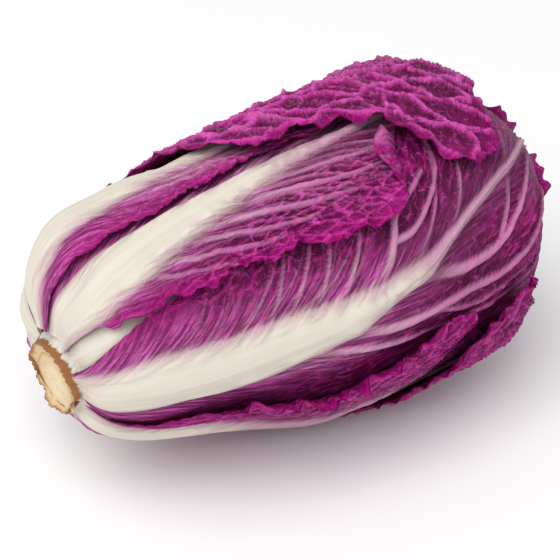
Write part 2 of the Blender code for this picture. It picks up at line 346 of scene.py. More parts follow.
# The leaves, from the innermost out. Rows: millimetres from the stem end; the rib, the low and the high
# margin in degrees round the head, where 0 faces the front and 90 is the top; the rib's half width and rise
# in millimetres. Strong veins: millimetres and degrees, then first and last width, first and last rise.
leaves = {
    "inner_leaf_under": {
        "rows": [(0, -80, -104, -56, 11, 3), (30, -80, -112, -48, 13, 3), (100, -80, -122, -38, 9, 2),
            (180, -80, -122, -38, 5, 1.5), (250, -80, -112, -50, 2, 1)],
        "shown": False, "seed": 11, "slot": "inner_leaf",
    },
    "inner_leaf_back": {
        "rows": [(0, 108, 84, 132, 11, 3), (30, 118, 90, 146, 13, 3), (100, 140, 100, 180, 9, 2),
            (180, 150, 108, 192, 5, 1.5), (250, 150, 118, 182, 2, 1)],
        "shown": False, "seed": 12, "slot": "inner_leaf",
    },
    "inner_leaf_front": {
        "rows": [(0, 44, 18, 70, 12, 3), (12, 44, 14, 74, 16, 5), (35, 45, 6, 84, 19, 4.5),
            (70, 46, 0, 92, 16, 3), (120, 47, 0, 94, 10, 2), (190, 48, 4, 92, 5, 2),
            (250, 50, 16, 84, 2, 1)],
        "shown": False, "seed": 13, "slot": "inner_leaf",
    },
    "back_leaf": {
        "rows": [(0, 207, 182, 232, 11, 4), (20, 206, 172, 240, 14, 6), (50, 205, 168, 244, 14, 6),
            (100, 203, 160, 246, 9, 4), (160, 200, 156, 246, 5, 2.5), (210, 198, 156, 240, 3, 1.5),
            (252, 196, 170, 222, 2, 1)],
        "low": plainEdge, "high": plainEdge, "tip": plainEdge, "shown": False, "seed": 14,
        "crinkle": 0.8,
    },
    "front_leaf": {
        "rows": [(0, 5, -22, 30, 10, 3.5), (8, 10, -24, 39, 12, 5.5), (22, 13, -25, 44, 13.5, 6.5),
            (42, 13, -27, 50, 13.5, 6.5), (65, 14, -30, 56, 12.8, 6.5), (85, 15, -32, 60, 11.2, 6.2),
            (107, 16, -34, 64, 8.8, 5.6), (130, 19, -34, 70, 6, 5), (150, 23, -34, 78, 3.6, 4),
            (175, 32, -33, 88, 2.4, 3), (205, 42, -30, 98, 1.8, 2.2), (232, 50, -24, 100, 1.5, 1.6),
            (258, 56, -6, 92, 1.2, 1)],
        "low": edge(0, 16, 0, 6, 0.5, 12),
        "high": edge(0.6, 10, 10, 4, 0.8, 6),
        "tip": edge(2.4, 13, 40, 7, 2.4, 8),
        "veinsHigh": veins(10, 98, 12, 12, 60, 55, 1.1, 1.3, 400),
        "veinsLow": veins(30, 90, 22, 5, 20, 85, 1.4, 1.3, 400),
        "strong": [
            ([(138, 19), (151, 19), (167, 17), (188, 19), (203, 26),
              (214, 33), (232, 46)], 3.0, 1.3, 3.4, 1.6),
            ([(104, 18), (118, 22), (129, 28), (136, 37), (140, 43),
              (152, 48), (163, 53)], 3.0, 1.2, 3.2, 1.4),
            ([(136, 35), (146, 36), (156, 41), (166, 48), (173, 56), (176, 66)], 1.9, 1.1, 2.4, 1.2),
            ([(126, 19), (140, 23), (152, 31), (161, 40), (167, 49), (174, 60)], 1.5, 0.9, 2.0, 1.0),
            ([(167, 30), (176, 40), (182, 50), (190, 62)], 1.4, 0.9, 1.8, 0.9),
            ([(190, 20), (202, 32), (208, 44), (216, 56)], 1.5, 0.9, 1.8, 0.9),
            ([(100, 11), (109, 9), (125, 6), (142, 6), (170, 8), (192, 9),
              (215, 16), (240, 30)], 2.9, 1.3, 3.0, 1.5),
            ([(84, 6), (98, 4), (118, 0), (138, -2), (168, -4), (195, -3), (225, 6)], 2.0, 1.1, 2.4, 1.0),
            ([(148, 6), (170, 1), (190, 2), (212, 6)], 1.3, 0.8, 1.6, 0.8),
            ([(92, 20), (102, 22), (110, 29), (117, 37), (122, 45), (128, 58)], 1.6, 0.8, 2.2, 1.0),
            ([(80, 20), (89, 23), (96, 29), (102, 37), (106, 45), (110, 58)], 1.4, 0.8, 2.0, 0.9),
            ([(67, 20), (76, 23), (84, 30), (91, 38), (97, 46), (102, 56)], 1.3, 0.7, 1.7, 0.8),
            ([(56, 20), (65, 23), (73, 30), (79, 38), (84, 46), (90, 56)], 1.2, 0.7, 1.5, 0.7),
        ],
        "seed": 21, "crinkle": 0.55, "cell": (13, 6), "net": 0.1, "teeth": 1.2,
        # the front leaf takes the shaded copy of the leaf material: painted shade
        "grooves": 0.35, "whiteUntil": (118, 160), "blush": 28, "shadedCopy": True,
    },
    "upper_front_leaf": {
        "rows": [(0, 76, 58, 98, 10, 3.5), (8, 71, 52, 99, 12.5, 5.5), (20, 72, 47, 100, 13.5, 6.5),
            (44, 75, 46, 104, 11, 6.2), (66, 77, 47, 109, 9, 5.8), (84, 78, 46, 112, 7.2, 5.2),
            (98, 79, 45, 114, 5.8, 4.6), (118, 80, 43, 116, 4.4, 4), (136, 80, 43, 116, 3.4, 3.2),
            (158, 80, 48, 114, 2.6, 2.4), (180, 80, 58, 100, 1.6, 1.6)],
        "low": edge(4, 20, 40, 6, 1.6, 9),
        "tip": edge(3, 18, -60, 9, 2, 12),
        "veinsLow": veins(4, 160, 13, 6, 34, 80, 1.4, 2.1, 60),
        "veinsHigh": veins(20, 150, 14, 8, 34, 70, 1.2, 1.4, 60),
        "strong": [
            ([(28, 62), (38, 56), (50, 52), (62, 49)], 1.6, 0.8, 1.6, 0.8),
            ([(40, 63), (54, 57), (70, 53), (86, 51)], 1.9, 0.9, 2.0, 0.9),
            ([(54, 66), (70, 60), (88, 55), (106, 53)], 2.1, 0.9, 2.2, 1.0),
            ([(68, 69), (86, 63), (106, 58), (128, 56)], 2.3, 1.0, 2.4, 1.0),
            ([(84, 72), (104, 66), (126, 62), (150, 61)], 2.3, 1.0, 2.4, 1.0),
            ([(98, 76), (118, 71), (140, 68), (162, 68)], 2.2, 1.0, 2.2, 1.0),
            ([(112, 84), (130, 87), (150, 88), (168, 88)], 1.8, 0.9, 1.8, 0.9),
        ],
        "seed": 31, "crinkle": 1.2, "cell": (7, 4.5), "net": 0.3, "teeth": 1.6,
        "whiteUntil": (85, 140),
    },
    "lower_front_leaf": {
        "rows": [(0, -46, -68, -26, 10, 3.5), (10, -47, -74, -19, 11, 4.5), (33, -48, -80, -11, 11, 4.5),
            (52, -49, -84, -9, 10, 4), (80, -50, -88, -10, 8, 3.5), (107, -50, -90, -10, 6, 3),
            (125, -49, -90, -5, 5, 2.6), (145, -46, -88, -1, 4.2, 2.4), (165, -42, -84, 0, 3.6, 2.2),
            (185, -38, -74, -6, 3, 2), (210, -32, -52, -14, 2, 1.2)],
        "high": edge(5, 13, 80, 7, 2.2, 9, begins=(0.14, 0.35), ends=(0.60, 0.76)),
        "tip": edge(0.5, 16, 10, 8, 1.2, 9),
        "veinsHigh": veins(8, 190, 11, 8, 40, 55, 1.2, 1.3, 60),
        "seed": 41, "crinkle": 1.3, "cell": (8, 6), "teeth": 1.4,
        "whiteUntil": (35, 85),
    },
    "top_leaf": {
        "rows": [(0, 126, 96, 150, 11, 3.5), (14, 122, 90, 149, 13.5, 5.5), (28, 120, 89, 148, 13.5, 6.2),
            (48, 117, 87, 146, 12.5, 6), (66, 115, 87, 143, 11, 5.4), (84, 113, 87, 138, 8.6, 4.6),
            (103, 110, 87, 134, 6.6, 3.8), (125, 108, 87, 130, 4.6, 3), (150, 106, 89, 126, 3, 2.2),
            (172, 104, 92, 118, 1.8, 1.5)],
        "strong": [
            ([(34, 108), (50, 101), (68, 96), (86, 93)], 1.5, 0.8, 1.4, 0.7),
            ([(52, 107), (70, 100), (90, 96), (112, 94)], 1.7, 0.8, 1.6, 0.8),
            ([(72, 107), (92, 101), (114, 98), (136, 97)], 1.7, 0.8, 1.6, 0.8),
        ],
        "low": edge(0, 12, 8, 5, 0.8, 6),
        "high": edge(3, 14, 60, 6, 1.8, 9),
        "veinsLow": veins(4, 150, 8, 6, 30, 70, 1.2, 1.6, 50),
        "veinsHigh": veins(12, 150, 11, 8, 32, 60, 1.2, 1.2, 50),
        "seed": 51, "crinkle": 1.5, "cell": (8, 5), "teeth": 1.4,
        "whiteUntil": (85, 140), "blush": 34,
    },
    "under_leaf": {
        "rows": [(0, -112, -136, -88, 11, 3.5), (25, -112, -150, -88, 13, 4.5),
            (60, -112, -164, -86, 12, 4.5), (100, -112, -172, -80, 9, 4), (125, -111, -176, -64, 7, 3.6),
            (148, -110, -179, -38, 5.4, 3.2), (170, -108, -184, -13, 4.4, 2.8),
            (190, -106, -186, -4, 4, 2.6), (210, -104, -188, 0, 3.4, 2.3), (232, -102, -186, 2, 2.8, 2),
            (252, -100, -172, -8, 2.2, 1.6), (270, -98, -152, -30, 2, 1)],
        "low": edge(3, 20, 40, 8, 2.6, 11),
        "high": edge(1.2, 14, 25, 8, 2.2, 10, begins=(0.46, 0.60)),
        "tip": edge(4, 14, 60, 9, 3.0, 9),
        "veinsHigh": veins(20, 240, 18, 18, 60, 110, 1.5, 1.9, 20),
        "veinsLow": veins(20, 240, 20, 18, 60, 110, 1.6, 1.8, 20),
        "seed": 61, "crinkle": 1.4, "cell": (11, 8), "teeth": 1.8,
        "whiteUntil": (60, 120),
    },
    "crown_leaf": {
        "rows": [(0, 168, 150, 190, 11, 3.5), (20, 166, 147, 206, 14, 6), (50, 162, 139, 216, 14, 6.5),
            (68, 160, 133, 219, 13, 6.2), (80, 158, 115, 220, 12, 6), (91, 157, 98, 221, 11, 5.7),
            (104, 156, 88, 222, 10, 5.5), (128, 153, 84, 222, 8, 5), (142, 151, 82, 221, 7, 4.5),
            (156, 150, 73, 220, 6, 4), (168, 149, 60, 218, 5.4, 3.6), (182, 148, 49, 216, 4.8, 3.3),
            (198, 145, 47, 213, 4.2, 3), (214, 143, 56, 208, 3.6, 2.6), (232, 139, 80, 200, 3, 2),
            (250, 134, 96, 186, 2, 1.5), (264, 130, 106, 164, 2, 1)],
        "low": edge(2.2, 18, -60, 7, 3.4, 11, begins=(0.30, 0.44), ends=(0.70, 0.84)),
        "high": edge(1.5, 18, 30, 7, 1.8, 12),
        "tip": edge(0.5, 16, 25, 9, 2.0, 9),
        "veinsLow": veins(15, 240, 20, 20, 62, 120, 1.4, 2.2, 20),
        "veinsHigh": veins(15, 240, 20, 20, 58, 95, 1.5, 1.9, 20),
        "seed": 71, "crinkle": 1.9, "net": 0.8, "fine": 0.22, "cell": (17, 12), "teeth": 1.6,
        "whiteUntil": (80, 150),
    },
}

outline = {
    # for each: its length, its height in teeth, where in the noise it is taken, the noise's seed
    "waves": ((0.014, 1.6, 31.7, 5), (0.0052, 0.8, 17.1, 6)),
    "points": (0.0024, 0.9, 13.3, 8),
    "tipWaves": ((0.014, 1.6, 1, 15), (0.005, 0.8, 1, 16)),
    "tipTeeth": 1.3,
    "tipNarrowing": 0.55,
    "tipDrop": 0.030,  # how far the corners of the tip are rounded off
}
bladeShape = {
    "thickness": 0.0009, "edgeThinning": 0.0004,
    "gap": 0.0005,  # to the leaves under it
    "sink": 0.0004,  # how far it may go into their peaks
    "bigRise": 0.0015,  # of the puckers
    "smallCell": (0.0042, 0.0030),
    "buckle": (0.022, 0.030), "buckleRise": 0.0020,
    "frillReach": 0.0065,  # how far the frills reach in from the margin
    "marginReach": 0.005,  # how far its bright colour does
    "ribStrings": 0.00014,
}


class LeafSheet:
    # one leaf as a grid: columns run from the low margin to the high one, rows from the foot to the tip
    def __init__(self, leaf):
        self.leaf = leaf
        rows = np.array(leaf["rows"], float)
        share = 1
        across, along = (int(count * share) for count in detail["shown" if leaf["shown"] else "hidden"])
        arcs = surface.arcOf(rows[:, 0])
        self.length = arcs[-1]
        v = np.linspace(0, 1, along)[:, None] * np.ones((1, across))
        u = np.linspace(-1, 1, across)[None, :] * np.ones((along, 1))
        arc = v * self.length
        radius = surface.radiusAt(arc)
        rib = through(arcs, rows[:, 1], arc)
        low = np.radians(rib - through(arcs, rows[:, 2], arc)) * radius
        high = np.radians(through(arcs, rows[:, 3], arc) - rib) * radius
        seed = leaf["seed"]
        # the outline: scallops and teeth
        sideSeed = seed + (u > 0) * 1.0
        teeth = leaf["teeth"] / 1000
        grown = smooth(0.02, 0.12, v)
        length, rough, place, noiseSeed = outline["points"]
        ragged = rough * np.abs(noise(arc / length, sideSeed * place, noiseSeed))
        for length, rough, place, noiseSeed in outline["waves"]:
            ragged = ragged + rough * noise(arc / length, sideSeed * place, noiseSeed)
        width = np.where(u > 0, high, low) + ragged * teeth * grown
        tipShare = smooth(0.80, 1.0, v)
        self.width = width * (1 - outline["tipNarrowing"] * tipShare ** 2)
        self.across = u * self.width
        tipDrop = outline["tipDrop"] * tipShare * np.abs(u) ** 2.2
        tipOutline = 0
        for length, rough, place, noiseSeed in outline["tipWaves"]:
            tipOutline = tipOutline + rough * noise(self.across / length, u * 0 + seed * place, noiseSeed)
        tipOutline = tipOutline * teeth * outline["tipTeeth"] * tipShare
        self.along = arc - tipDrop + tipOutline
        self.u, self.v = u, v
        self.rib = np.radians(rib)
        self.ribHalf = through(arcs, rows[:, 4], arc) / 1000
        self.ribRise = through(arcs, rows[:, 5], arc) / 1000
        self.arcs, self.rows = arcs, rows
        # distances to the margins
        self.toSide = (1 - np.abs(u)) * self.width
        self.toTip = (1 - v) * self.length * 0.96
        self.toMargin = np.minimum(self.toSide, self.toTip)

    def veinPaths(self):
        # each path: points across and along, half widths and rises
        drawn = np.random.default_rng(self.leaf["seed"])
        paths = []
        for side, key in ((1, "veinsHigh"), (-1, "veinsLow")):
            plan = self.leaf[key]
            at, count = plan["first"], 0
            while at < plan["last"]:
                major = count % 2 == 0  # a strong vein and a weak one by turns
                size = (1.0 if major else 0.62) * drawn.uniform(0.85, 1.15)
                start = float(surface.arcOf(at + drawn.uniform(-0.2, 0.2) * plan["step"]))
                half = float(through(self.arcs, self.rows[:, 4], start)) / 1000
                grown = 0.55 + 0.45 * min(1, at / 60)  # finer near the foot
                forks = (2 if major else 1) if at > plan["forkFrom"] else 0
                self.growVein(paths, drawn, side, start, side * half * 0.72, math.radians(plan["start"]),
                              math.radians(plan["end"] * drawn.uniform(0.88, 1.12)),
                              plan["length"] * (1 if major else 0.7),
                              plan["width"] * size * grown, plan["rise"] * size * grown, forks)
                at += plan["step"] * 0.5 * drawn.uniform(0.85, 1.15)
                count += 1
        for points, width, lastWidth, rise, lastRise in self.leaf["strong"]:
            points = np.array(points, float)
            at = np.linspace(0, len(points) - 1, 8 * len(points))
            along = surface.arcOf(through(np.arange(len(points)), points[:, 0], at))
            angle = np.radians(through(np.arange(len(points)), points[:, 1], at))
            rib = np.radians(through(self.arcs, self.rows[:, 1], along))
            across = (angle - rib) * surface.radiusAt(along)
            share = np.linspace(0, 1, len(at))
            paths.append((np.stack([across, along], -1), (width + (lastWidth - width) * share) / 1000,
                          (rise + (lastRise - rise) * share) / 1000 * smooth(0, 0.15, share + 0.03)))
        return paths

    def growVein(self, paths, drawn, side, along, across, heading, lastHeading, length, width, rise, forks):
        steps, forkSteps = 22, (9, 15)
        points = [(across, along)]
        wander = drawn.uniform(-0.5, 0.5)
        for k in range(steps):
            t = k / steps
            turn = heading + (lastHeading - heading) * t ** 0.8 + 0.12 * math.sin(5 * t + wander * 6)
            across += side * math.sin(turn) * length / steps
            along += math.cos(turn) * length / steps
            points.append((across, along))
            early = k == forkSteps[0]
            if forks and k in forkSteps and drawn.uniform() < (0.95 if early else 0.7):
                swing = drawn.uniform(0.30, 0.5) * (1 if early == (drawn.uniform() < 0.5) else -1)
                self.growVein(paths, drawn, side, along, across, turn + swing, turn + swing * 1.1,
                              length * (1 - t) * 0.9, width * 0.62, rise * 0.62, forks - 1)
        t = np.linspace(0, 1, steps + 1)
        paths.append((np.array(points), width * (1 - 0.72 * t), rise * (1 - 0.65 * t)))

    def drawVeins(self):
        # over the sheet: the veins' height, their colour's mask, the swelling, and the painted shade for the
        # strips beside them
        rise, mask, swell, flankShade = np.zeros((4, *self.u.shape))
        middle = self.along[:, self.along.shape[1] // 2]
        for points, widths, rises in self.veinPaths():
            for k in range(len(points) - 1):
                (a0, b0), (a1, b1) = points[k], points[k + 1]
                reach = 7 * widths[k]
                first = np.searchsorted(middle, min(b0, b1) - reach - 0.004)
                last = np.searchsorted(middle, max(b0, b1) + reach + 0.004 + outline["tipDrop"])
                if last <= first:
                    continue
                a, b = self.across[first:last], self.along[first:last]
                da, db = a1 - a0, b1 - b0
                t = np.clip(((a - a0) * da + (b - b0) * db) / (da * da + db * db), 0, 1)
                away = np.hypot(a - a0 - t * da, b - b0 - t * db)
                wide = widths[k] + (widths[k + 1] - widths[k]) * t
                high = rises[k] + (rises[k + 1] - rises[k]) * t
                clear = min(1, widths[k] / 0.0018)  # fine veins are less pale
                q = away / wide
                for field, shape in ((rise, np.cos(np.clip(q, 0, 1.6) * math.pi / 3.2) ** 1.5 * high),
                                     (mask, smooth(1.15, 0.55, q) * clear),
                                     (swell, np.exp(-(q / 3.0) ** 2) * high),
                                     (flankShade, np.exp(-((q - 1.7) / 0.7) ** 2) * clear)):
                    field[first:last] = np.maximum(field[first:last], shape)
        return rise, mask, swell, flankShade * (1 - mask)

    def fanned(self, across, along):
        # how far along and how far aside each place is on the leaf's fan of veins
        onVein, aside = np.zeros((2, *across.shape))
        for side, key in ((1, "veinsHigh"), (-1, "veinsLow")):
            plan = self.leaf[key]
            t = np.linspace(0, 2.5, 120)
            heading = np.radians(plan["start"] + 8 + (plan["end"] - plan["start"]) * np.minimum(t, 1) ** 0.8)
            step = t[1] * plan["length"]
            out = np.cumsum(np.sin(heading)) * step
            on = np.cumsum(np.cos(heading)) * step
            away = np.maximum(np.abs(across) - 0.6 * self.ribHalf, 0)
            here = across * side >= 0
            inRib = np.minimum(np.abs(across) - 0.6 * self.ribHalf, 0)
            onVein = np.where(here, np.interp(away, out, np.arange(len(t)) * step) + 1.5 * inRib, onVein)
            lean = math.sin(math.radians(0.5 * (plan["start"] + plan["end"]) + 8))
            aside = np.where(here, (along - np.interp(away, out, on)) * lean, aside)
        return onVein, aside

    def ribHeight(self):
        # rounded across, with shallow grooves and fine strings along it
        a, b, seed = self.across, self.along, self.leaf["seed"]
        q = np.abs(a) / (self.ribHalf * 1.12)
        profile = np.cos(np.clip(q, 0, 1) * math.pi / 2) ** 0.8
        inRib = 1 - smooth(0.75, 1.05, q)
        foot = smooth(0, 0.006, b)
        grooves = np.cos(a / self.ribHalf * 5.5 + noise(b / 0.06, a * 0, seed)) * inRib * (1 - self.v) ** 0.5
        return (profile * self.ribRise * (0.35 + 0.65 * foot) + self.leaf["grooves"] / 1000 * grooves
                + bladeShape["ribStrings"] * noise(a / 0.0011, b / 0.04, seed + 2) * inRib)

    def marginLift(self, covered):
        # how far the margins stand off, and how far their curls draw them in across and along the leaf
        a, b, leaf, seed = self.across, self.along, self.leaf, self.leaf["seed"]
        lift, shiftAcross, shiftAlong = np.zeros((3, *a.shape))
        for part, away, run in (("low", self.toSide, b), ("high", self.toSide, b), ("tip", self.toTip, a)):
            margin = leaf[part]
            if part == "tip":
                here = smooth(0.55, 0.95, self.v)
            else:
                (start, full), (less, gone) = margin["begins"], margin["ends"]
                here = smooth(start, full, self.v) * smooth(gone, less, self.v)
                here = here * ((a > 0) == (part == "high"))
            wavy = noise(run / margin["wave"] * 1.7, a * 0 + seed * 3.1, 31)
            ripple = np.sin(2 * math.pi * (run / margin["wave"] + 0.9 * noise(run / 0.02, a * 0 + seed, 33)))
            fine = noise(run / 0.0042, away / 0.012 + seed, 34)
            free = here * (1 - 0.85 * covered)
            lift += free * margin["lift"] * smooth(1, 0, away / margin["over"]) * (1 + 0.45 * wavy)
            frill = margin["frill"] * np.exp(-away / bladeShape["frillReach"])
            lift += free * frill * (0.55 + 0.45 * ripple + 0.45 * fine)
            lift += here * covered * 0.0002
            # the curl: past the roll's start the sheet turns about a line along the margin
            past = np.clip(1 - away / margin["roll"], 0, 1)
            angle = margin["curl"] * np.clip(0.62 + 0.62 * wavy, 0.05, 1.25) * free
            end = np.maximum(np.abs(angle), 1e-3)
            lift += (1 - np.cos(end * past)) / end * margin["roll"] * np.sign(angle)
            back = (past - np.sin(end * past) / end) * margin["roll"] * here
            if part == "tip":
                shiftAlong -= back
            else:
                shiftAcross -= np.sign(a) * back
        return lift, shiftAcross, shiftAlong

    def shaped(self, covered):
        # the sheet's lift, its outer face's extra height and its masks; covered is 1 under other leaves
        leaf, seed = self.leaf, self.leaf["seed"]
        a, b = self.across, self.along
        veinRise, veinMask, swell, flankShade = self.drawVeins()
        fromRib = np.abs(a) - self.ribHalf
        inBlade = smooth(0.0, 0.016, fromRib)
        outer = self.ribHeight() + veinRise * (0.4 + 0.6 * inBlade) * (1 - 0.5 * covered)
        # puckers: raised edges between cells stretched along the veins, and broad buckles
        along, aside = self.fanned(a, b)
        sway = layered(a / 0.02, b / 0.02, seed + 20, 2)
        cellLong, cellWide = np.array(leaf["cell"]) / 1000
        bigGap = cellEdges(along / cellLong + sway * 0.5, aside / cellWide + sway * 0.4, seed)
        bigRidge = 0.75 * (1 - smooth(0.0, 0.26, bigGap)) + 0.35 * (1 - np.clip(bigGap / 0.9, 0, 1) ** 0.6)
        smallLong, smallWide = bladeShape["smallCell"]
        smallGap = cellEdges(along / smallLong + sway, aside / smallWide - sway, seed + 3)
        smallRidge = 1 - smooth(0.0, 0.4, smallGap)
        buckle = layered(a / bladeShape["buckle"][0], b / bladeShape["buckle"][1], seed + 5, 3)
        free = 1 - 0.8 * covered
        crinkle = (leaf["crinkle"] * inBlade * free * (0.45 + 0.55 * smooth(0.004, 0.05, fromRib))
                   * (1 - 0.5 * smooth(0.74, 0.90, self.v)))
        relief = (bladeShape["bigRise"] * bigRidge + leaf["fine"] / 1000 * smallRidge
                  + bladeShape["buckleRise"] * (buckle + 1) / 2)
        # painted shade and highlight: high puckers, ridges and the swelling by the veins lighten the blade's
        # colour, while the pits and the strips beside the veins darken it
        puckerShadeAndHighlight = 0.10 + 0.50 * bigRidge + 0.22 * smallRidge + 0.32 * buckle + 60 * swell - 0.50 * flankShade
        edgeLift, shiftAcross, shiftAlong = self.marginLift(covered)
        lift = np.maximum(crinkle * relief + 0.7 * swell * free + edgeLift, 0)
        self.across, self.along = a + shiftAcross, b + shiftAlong
        # colours: how white the rib is, how clear the veins are, how near the margin is
        streak = noise(aside / 0.0016, along / 0.05, seed + 9)
        paleStart, paleEnd = surface.arcOf(leaf["whiteUntil"])
        white = 1 - smooth(-0.0045, 0.0035, fromRib + streak * 0.0016)
        white = white * (1 - 0.85 * smooth(paleStart, paleEnd, b + streak * 0.01))
        fadedRib = (1 - smooth(-0.001, 0.0015, fromRib)) * (1 - white)
        nearRib = 1 - smooth(0.0, leaf["blush"] / 1000, fromRib + streak * 0.002)
        self.masks = {
            "ribMask": white,
            "veinMask": np.maximum(veinMask * inBlade ** 0.5, fadedRib),
            "marginMask": np.exp(-self.toMargin / bladeShape["marginReach"]) * smooth(0.03, 0.16, self.v),
            # painted shade in the pits and painted highlight on the ridges
            "puckerMask": np.clip(puckerShadeAndHighlight, 0, 1) * inBlade,
            "nearRib": nearRib * (1 - 0.6 * smooth(paleStart, paleEnd, b)),
            "edgeLine": (1 - smooth(0.03, 0.13, bigGap)) * inBlade * leaf["net"],
        }
        self.places = {"sheetPlace": (a.ravel(), b.ravel()), "veinPlace": (aside.ravel(), along.ravel())}
        return lift, outer

    def place(self, support, cover):
        # drape the sheet over the leaves laid so far, and lay it on the map for those to come
        _, _, mapArc, mapAngle = surface.locate(self.along, self.across, self.rib)
        covered = heights.sample(cover, mapArc, mapAngle)
        lift, outer = self.shaped(covered)
        point, normal, mapArc, mapAngle = surface.locate(self.along, self.across, self.rib)
        below = heights.sample(support, mapArc, mapAngle)
        reach = max(2, int(6 * self.u.shape[0] / detail["shown"][1]))
        draped = blurred(widened(below, reach), reach)
        draped = np.maximum(draped, below - bladeShape["sink"]) + bladeShape["gap"]
        thick = bladeShape["thickness"] - bladeShape["edgeThinning"] * np.exp(-self.toMargin / 0.003)
        middle = point + normal * (draped + lift + thick / 2)[..., None]
        heights.lay(support, mapArc, mapAngle, draped + lift + thick + outer)
        # true normals of the bent sheet
        rowWay = np.gradient(middle, axis=0)
        columnWay = np.gradient(middle, axis=1)
        true = np.cross(rowWay, columnWay)
        size = np.linalg.norm(true, axis=-1, keepdims=True)
        true = np.where(size > 1e-12, true / np.maximum(size, 1e-12), normal)
        self.flip = np.sign((true * normal).sum(-1).mean())
        true *= self.flip
        outside = middle + true * (thick / 2)[..., None] + normal * outer[..., None]
        inside = middle - true * (thick / 2)[..., None]
        return surface.laidDown(outside), surface.laidDown(inside)

    def footprint(self):
        # 1 on the map where the leaf lies
        _, _, mapArc, mapAngle = surface.locate(self.along, self.across, self.rib)
        field = np.zeros((heights.side, heights.side))
        heights.lay(field, mapArc, mapAngle, np.ones(self.u.shape) * smooth(0.0, 0.006, self.toMargin))
        return widened(field, 1)


def addSheet(node, material, outside, inside, masks, places, flip=1):
    # a closed shell from two grids, with its masks as attributes, in the place of a node
    rows, columns = outside.shape[:2]
    count = rows * columns
    index = np.arange(count).reshape(rows, columns)
    quad = np.stack([index[:-1, :-1], index[1:, :-1], index[1:, 1:], index[:-1, 1:]], -1).reshape(-1, 4)
    if flip < 0:
        quad = quad[:, ::-1]
    back = quad[:, ::-1] + count
    ring = np.concatenate([index[0, :], index[1:, -1], index[-1, -2::-1], index[-2:0:-1, 0]])
    after = np.roll(ring, -1)
    rim = np.stack([ring, after, after + count, ring + count], -1)
    if flip > 0:
        rim = rim[:, ::-1]
    faces = np.concatenate([quad, back, rim])
    mesh = bpy.data.meshes.new(node + "_detailed")
    mesh.vertices.add(2 * count)
    mesh.vertices.foreach_set("co", np.concatenate([outside.reshape(-1, 3), inside.reshape(-1, 3)]).ravel())
    mesh.loops.add(faces.size)
    mesh.loops.foreach_set("vertex_index", faces.ravel())
    mesh.polygons.add(len(faces))
    mesh.polygons.foreach_set("loop_start", np.arange(0, faces.size, 4))
    mesh.polygons.foreach_set("use_smooth", np.ones(len(faces), bool))
    mesh.update(calc_edges=True)
    # the outer face takes the left half of the texture, the inner face the right
    u = np.tile(np.linspace(0.01, 0.99, columns), rows)
    v = np.repeat(np.linspace(0.01, 0.99, rows), columns)
    uv = np.concatenate([np.stack([u / 2, v], -1), np.stack([1 - u / 2, v], -1)])[faces.ravel()]
    rimLoops = np.repeat(np.arange(len(faces)) >= 2 * len(quad), 4)
    uv[rimLoops, 0] = np.minimum(uv[rimLoops, 0], 0.499)
    mesh.uv_layers.new(name="OFBake").data.foreach_set("uv", uv.ravel())
    for key, values in masks.items():
        attribute = mesh.attributes.new(key, "FLOAT", "POINT")
        attribute.data.foreach_set("value", np.tile(values.ravel(), 2).astype(np.float32))
    for key, (a, b) in places.items():
        attribute = mesh.attributes.new(key, "FLOAT_VECTOR", "POINT")
        flat = np.concatenate([np.stack([a, b, np.zeros(count) + z], -1) for z in (0, 0.5)])
        attribute.data.foreach_set("vector", flat.astype(np.float32).ravel())
    mesh.validate()
    mesh.materials.append(material)
    made = bpy.data.objects.new(mesh.name, mesh)
    bpy.context.scene.collection.objects.link(made)
    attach(made, "root")
    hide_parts(node)
    print("made", mesh.name, len(mesh.polygons), "faces")


class Value:
    # a number socket that can stand in Python arithmetic
    def __init__(self, shader, socket):
        self.shader, self.socket = shader, socket

    def join(self, kind, first, second):
        node = self.shader.node("ShaderNodeMath", {"operation": kind}, {0: first, 1: second})
        return Value(self.shader, node.outputs[0])

    def __add__(self, other):
        return self.join("ADD", self, other)

    def __radd__(self, other):
        return self.join("ADD", other, self)

    def __sub__(self, other):
        return self.join("SUBTRACT", self, other)

    def __rsub__(self, other):
        return self.join("SUBTRACT", other, self)

    def __mul__(self, other):
        return self.join("MULTIPLY", self, other)

    def __rmul__(self, other):
        return self.join("MULTIPLY", other, self)

    def between(self, low, high):
        return Value(self.shader, self.shader.node(
            "ShaderNodeMapRange", {"interpolation_type": "SMOOTHSTEP"},
            {"Value": self, "From Min": low, "From Max": high}).outputs[0])


